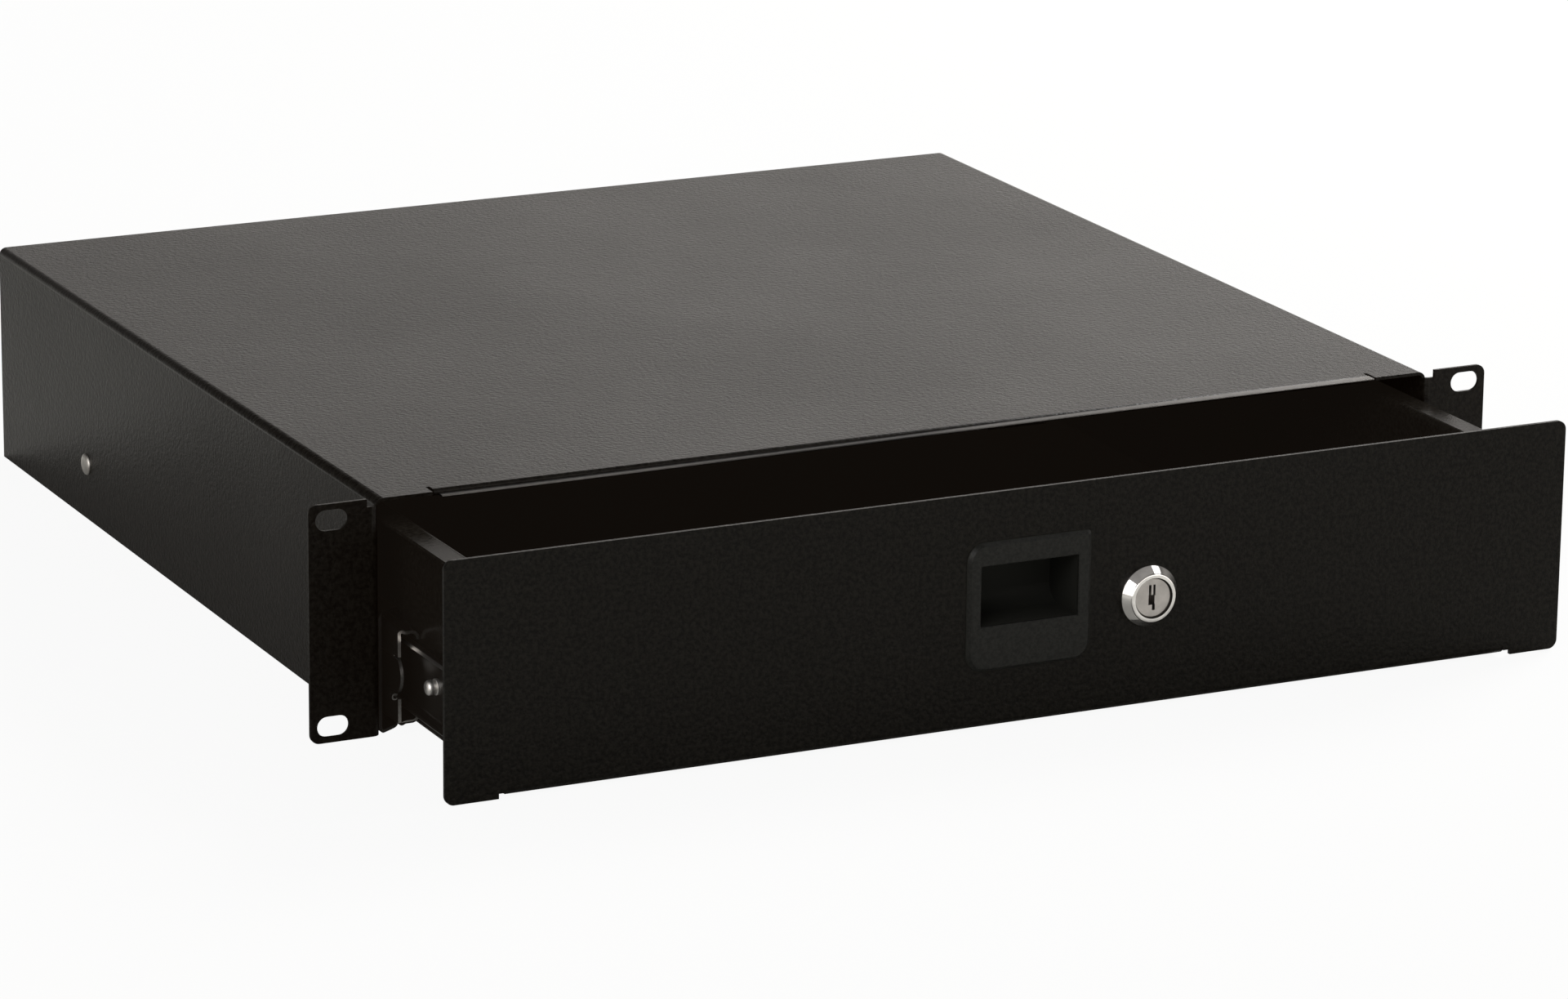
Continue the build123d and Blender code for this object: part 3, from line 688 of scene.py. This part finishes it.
# The middle rails' tangs: a narrow tongue of each web, curled outward at the front end into a
# small open ring that catches the next rail. Its sheared edge is bare.
middle_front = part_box("left_middle_rail")[0].y
tang_centre = 0.2113
tang_height = rail_centre - 0.00665
tang_radius = 0.00125
tang_thickness = 0.00055
tang_length = 0.0030
tang_gap = math.radians(70)
tang_steps = 28


def curled_tang(side):
    """A strip rolled about an axis along Y, open towards the web below."""
    work = bmesh.new()
    middle = Vector((side * tang_centre, middle_front, tang_height))
    back = Vector((0, tang_length, 0))
    rings = []
    for i in range(tang_steps + 1):
        turn = -tang_gap / 2 - (2 * math.pi - tang_gap) * i / tang_steps
        out = Vector((-side * math.cos(turn), 0, -math.sin(turn)))
        near = middle + out * (tang_radius - tang_thickness)
        far = middle + out * tang_radius
        rings.append([work.verts.new(point) for point in (near, far, far + back, near + back)])
    for first, second in zip(rings, rings[1:]):
        for j in range(4):
            k = (j + 1) % 4
            work.faces.new((first[j], first[k], second[k], second[j]))
    work.faces.new(rings[0][::-1])
    work.faces.new(rings[-1])
    return closed_mesh(work, "curled_tang")


for side, name in sides:
    tang = curled_tang(side)
    finished(tang, name + "_middle_tang", middle_rail_finish, name + "_middle")


# The ball cages: thin plain steel strip, pierced for the balls and lightly greased. Each lies
# loose between two rails and runs at the mean of their speeds.
cage_colour = (0.40, 0.39, 0.37, 1)
cage_steel = worn_metal_and_highlight(
    "cage_steel", cage_colour, roughness=0.30, grain=0.0006, depth=0.000004, streaks=(1, 0.05, 1)
)
for cage in ("outer_ball_cage", "inner_ball_cage"):
    dress("left_" + cage, cage_steel)
    dress("right_" + cage, cage_steel)


# The balls: hardened and polished bearing steel, held in the pockets of the cages, in an upper
# and a lower row to each cage.
rail_wall = 0.2142
ball_pitch = 0.023
ball_count = 4
ball_colour = (0.74, 0.73, 0.72, 1)
ball_steel = worn_metal_and_highlight("ball_steel", ball_colour, roughness=0.10, grain=0.0008, depth=0.000001)


def ball_rows(name, side, radius, line, height, first, body):
    """Smooth round balls, in rows that stand a height above and below the rail's centre."""
    arc = [math.radians(15 * i) for i in range(13)]
    profile = [(radius * (1 - math.cos(a)), radius * math.sin(a)) for a in arc]
    profile[0] = (0.0, 0.0)
    profile[-1] = (2 * radius, 0.0)
    work = bmesh.new()
    for i in range(ball_count):
        for row in (-1, 1):
            low = (side * (rail_wall - line), first + ball_pitch * i, rail_centre + row * height - radius)
            turned(work, profile, low, (0, 0, 1), steps=24)
    return finished(closed_mesh(work, name), name, ball_steel, body, smooth_angle=60)


for side, name in sides:
    for row, radius, line, height, first in (
        ("outer", 0.0019, 0.0074, 0.01925, 0.120925),
        ("inner", 0.0016, 0.0094, 0.01425, 0.085175),
    ):
        set_name = name + "_" + row
        piece = ball_rows(
            set_name + "_ball_rows", side, radius, line, height, first, set_name + "_cage_set"
        )
        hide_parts(set_name + "_balls")


# The tray: one coated steel sheet folded into an open box, with out-turned flanges on top and
# tabs at the front that lie against the drawer front. Its coat is smoother than the cover's.
# The tray's coat glows faintly: painted light standing in for stray light inside the drawer.
tray_painted_stray_light = (0.0047, 0.0035, 0.0026, 1)
tray_pit_depth = coat_pit_depth * 0.3
tray_coat = textured_coat(
    "tray_coat", gloss=0.033, roughness=0.21, pit_depth=tray_pit_depth, painted_stray_light=tray_painted_stray_light
)
dress("drawer_tray", tray_coat, edge=coat_edge_roll)


# The drawer front: a 1.5 mm coated steel panel, pierced for the pull and the lock, with its
# lower edge folded back under the tray between two small notches.
# The front's coat glows faintly too: painted light standing in for stray light.
front_painted_stray_light = (0.0004, 0.0002, 0.0, 1)
front_coat = textured_coat("front_coat", coat_gloss, coat_roughness, coat_pit_depth, front_painted_stray_light)
dress("drawer_front", front_coat, edge=coat_edge_roll)


# The inner rails: coated strip riveted to the tray, cupped round the balls. The slit edge of the
# upper cup faces the light and shows as a thin bright line.
inner_front, inner_back = (corner.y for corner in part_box("left_inner_rail"))
inner_lip_reach = 0.20585
inner_rail_finish = coated_strip(
    "inner_rail_coat", ends=[(inner_front, -1), (inner_back, 1)], slit_from=inner_lip_reach
)
dress("left_inner_rail", inner_rail_finish)
dress("right_inner_rail", inner_rail_finish)


# The rivets of the inner rails: the same headed steel, set through the tray's walls and the
# rails, with their bright domed heads inside the tray.
tray_wall_inside = 0.2003
tray_rivet_places = (-0.0255, 0.2365)
for side, name in sides:
    heads = [rivet_head(side * tray_wall_inside, y, -side) for y in tray_rivet_places]
    piece = turned_piece(name + "_tray_rivet_heads", heads, rivet_finish, "drawer")
    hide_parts(name + "_tray_rivets")


# The rail studs: turned steel pins with a waisted knob, swaged into the inner rails' webs.
# The profile is distance from the web and radius.
stud_base = 0.2027
stud_height = rail_centre + 0.0014
stud_place = -0.0255
stud_colour = (0.88, 0.86, 0.83, 1)
stud_profile = [
    (0.0, 0.0),
    (0.0, 0.0030),
    (0.0009, 0.0030),
    (0.0011, 0.0027),
    (0.0012, 0.0021),
    (0.0017, 0.0021),
    (0.0019, 0.0026),
    (0.0022, 0.0028),
    (0.0032, 0.0028),
    (0.0037, 0.0027),
    (0.0041, 0.0024),
    (0.0044, 0.0019),
    (0.0046, 0.0012),
    (0.0047, 0.0),
]
stud_finish = worn_metal_and_highlight("stud_steel", stud_colour, roughness=0.42, grain=0.0005, depth=0.000003)
for side, name in sides:
    stud = [(stud_profile, (side * stud_base, stud_place, stud_height), (side, 0, 0))]
    piece = turned_piece(name + "_turned_stud", stud, stud_finish, "drawer", smooth_angle=40)
    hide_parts(name + "_rail_stud")


# The finger pull: one black plastic moulding, a bevelled plate in front of the panel with a
# hooded cup behind its window, snapped into the opening. Its hollow is painted for its light:
# much less gloss there stands in for its shade, and a lifted base for the dim light inside.
pull_black = (0.0110, 0.0110, 0.0095)
pull_cup_starts = -0.0850
pull_moulding = moulded_black(
    "pull_moulding", pull_black, gloss=0.16, roughness=0.40, painted_hollow_from=pull_cup_starts
)
dress("finger_pull", pull_moulding, edge=0.0003, segments=3)


# The lock case: zinc turned to a coned collar with a barrel behind it, threaded, milled with two
# flats and chromed bright. The bore opens in a small bevel round the plug, painted dark as shade.
lock_x = 0.04965
lock_z = -0.00095
panel_front = -0.0846
collar_front = -0.0897
collar_radius = 0.01150
barrel_end = -0.0626
barrel_radius = 0.0094
barrel_flat = 0.0080
barrel_bevel = 0.0005
bore_radius = 0.00716
thread_pitch = 0.0010
thread_depth = 0.0005
thread_start = 0.0032
thread_runout = 0.0006
groove_radius = bore_radius + 0.00045
groove_start = 0.00002
same_point = 1e-7
just_past = 1e-6
chrome_colour = (0.86, 0.84, 0.82, 1)
groove_shade_colour = (0.030, 0.027, 0.024, 1)


def lock_case():
    """Collar, bore and threaded barrel in one turning, with the barrel's sides milled flat."""
    foot = panel_front - collar_front
    length = barrel_end - collar_front
    profile = [
        (length, bore_radius),
        (0.0016, bore_radius),
        (0.0010, bore_radius + 0.00004),
        (0.0009, bore_radius + 0.00030),
        (0.00012, bore_radius + 0.00034),
        (0.0, bore_radius + 0.00046),
        (0.0, 0.00870),
        (0.00007, 0.00888),
        (0.00024, 0.00902),
        (0.00050, 0.00912),
        (0.00062, 0.0092156),
        (0.00318, 0.0112544),
        (0.0033, 0.01135),
        (0.0035, 0.01146),
        (0.0037, collar_radius),
        (foot, collar_radius),
        (foot, barrel_radius),
    ]
    along = foot + thread_start
    profile.append((along, barrel_radius))
    while along + thread_pitch < length - thread_runout:
        profile.append((along + thread_pitch / 2, barrel_radius - thread_depth))
        profile.append((along + thread_pitch, barrel_radius))
        along += thread_pitch
    profile += [
        (length - barrel_bevel, barrel_radius),
        (length, barrel_radius - barrel_bevel),
        (length, bore_radius),
    ]
    work = bmesh.new()
    turned(work, profile, (0, 0, 0), (0, 1, 0), steps=96)
    bmesh.ops.remove_doubles(work, verts=work.verts, dist=same_point)
    for vert in work.verts:
        if vert.co.y > foot + just_past:
            vert.co.x = max(-barrel_flat, min(barrel_flat, vert.co.x))
        vert.co += Vector((lock_x, collar_front, lock_z))
    # The bevel's walls take the second slot, painted dark as shade.
    for face in work.faces:
        middle = face.calc_center_median()
        reach = math.hypot(middle.x - lock_x, middle.z - lock_z)
        if reach < groove_radius and middle.y > collar_front + groove_start:
            face.material_index = 1
    return closed_mesh(work, "lock_case")


chrome = worn_metal_and_highlight("lock_chrome", chrome_colour, roughness=0.07, grain=0.0009, depth=0.0000006)
groove_shade = worn_metal_and_highlight("painted_groove_shade", groove_shade_colour, roughness=0.45, grain=0.0006, depth=0.000002)
case = finished(lock_case(), "lock_case", chrome, "drawer", smooth_angle=34)
case.data.materials.append(groove_shade)
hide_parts("lock_housing")


# The lock nut: a pressed zinc-plated steel hexagon, run up the barrel's thread until it bears on
# the back of the panel.
zinc_colour = (0.52, 0.52, 0.53, 1)
plated = worn_metal_and_highlight("zinc_plate", zinc_colour, roughness=0.32, grain=0.0007, depth=0.000004)
dress("lock_nut", plated, edge=0.0005, segments=3)


# The key plug: nickel-plated, its face brushed, with a key slot that is forked at the top and
# stepped below. It turns in the case and drives the cam.
nickel_colour = (0.47, 0.445, 0.425, 1)
plug_finish = worn_metal_and_highlight(
    "brushed_nickel", nickel_colour, roughness=0.34, grain=0.00012, depth=0.000004, streaks=(1, 1, 0.06)
)
dress("lock_plug", plug_finish, edge=0.00022)


# The cam: plated steel plate on the plug's square end, held by a flanged hexagon screw. The
# flange's profile is distance behind the cam and radius.
cam_back = -0.0604
flange_profile = [
    (0.0, 0.0),
    (0.0, 0.0061),
    (0.0005, 0.0061),
    (0.0009, 0.0058),
    (0.0012, 0.0050),
    (0.0012, 0.0),
]
flange = [(flange_profile, (lock_x, cam_back, lock_z), (0, 1, 0))]
dress("lock_cam", plated, edge=0.0003)
dress("cam_screw", plated, edge=0.0004, segments=3)
turned_piece("cam_screw_flange", flange, plated, "key_plug", smooth_angle=30)
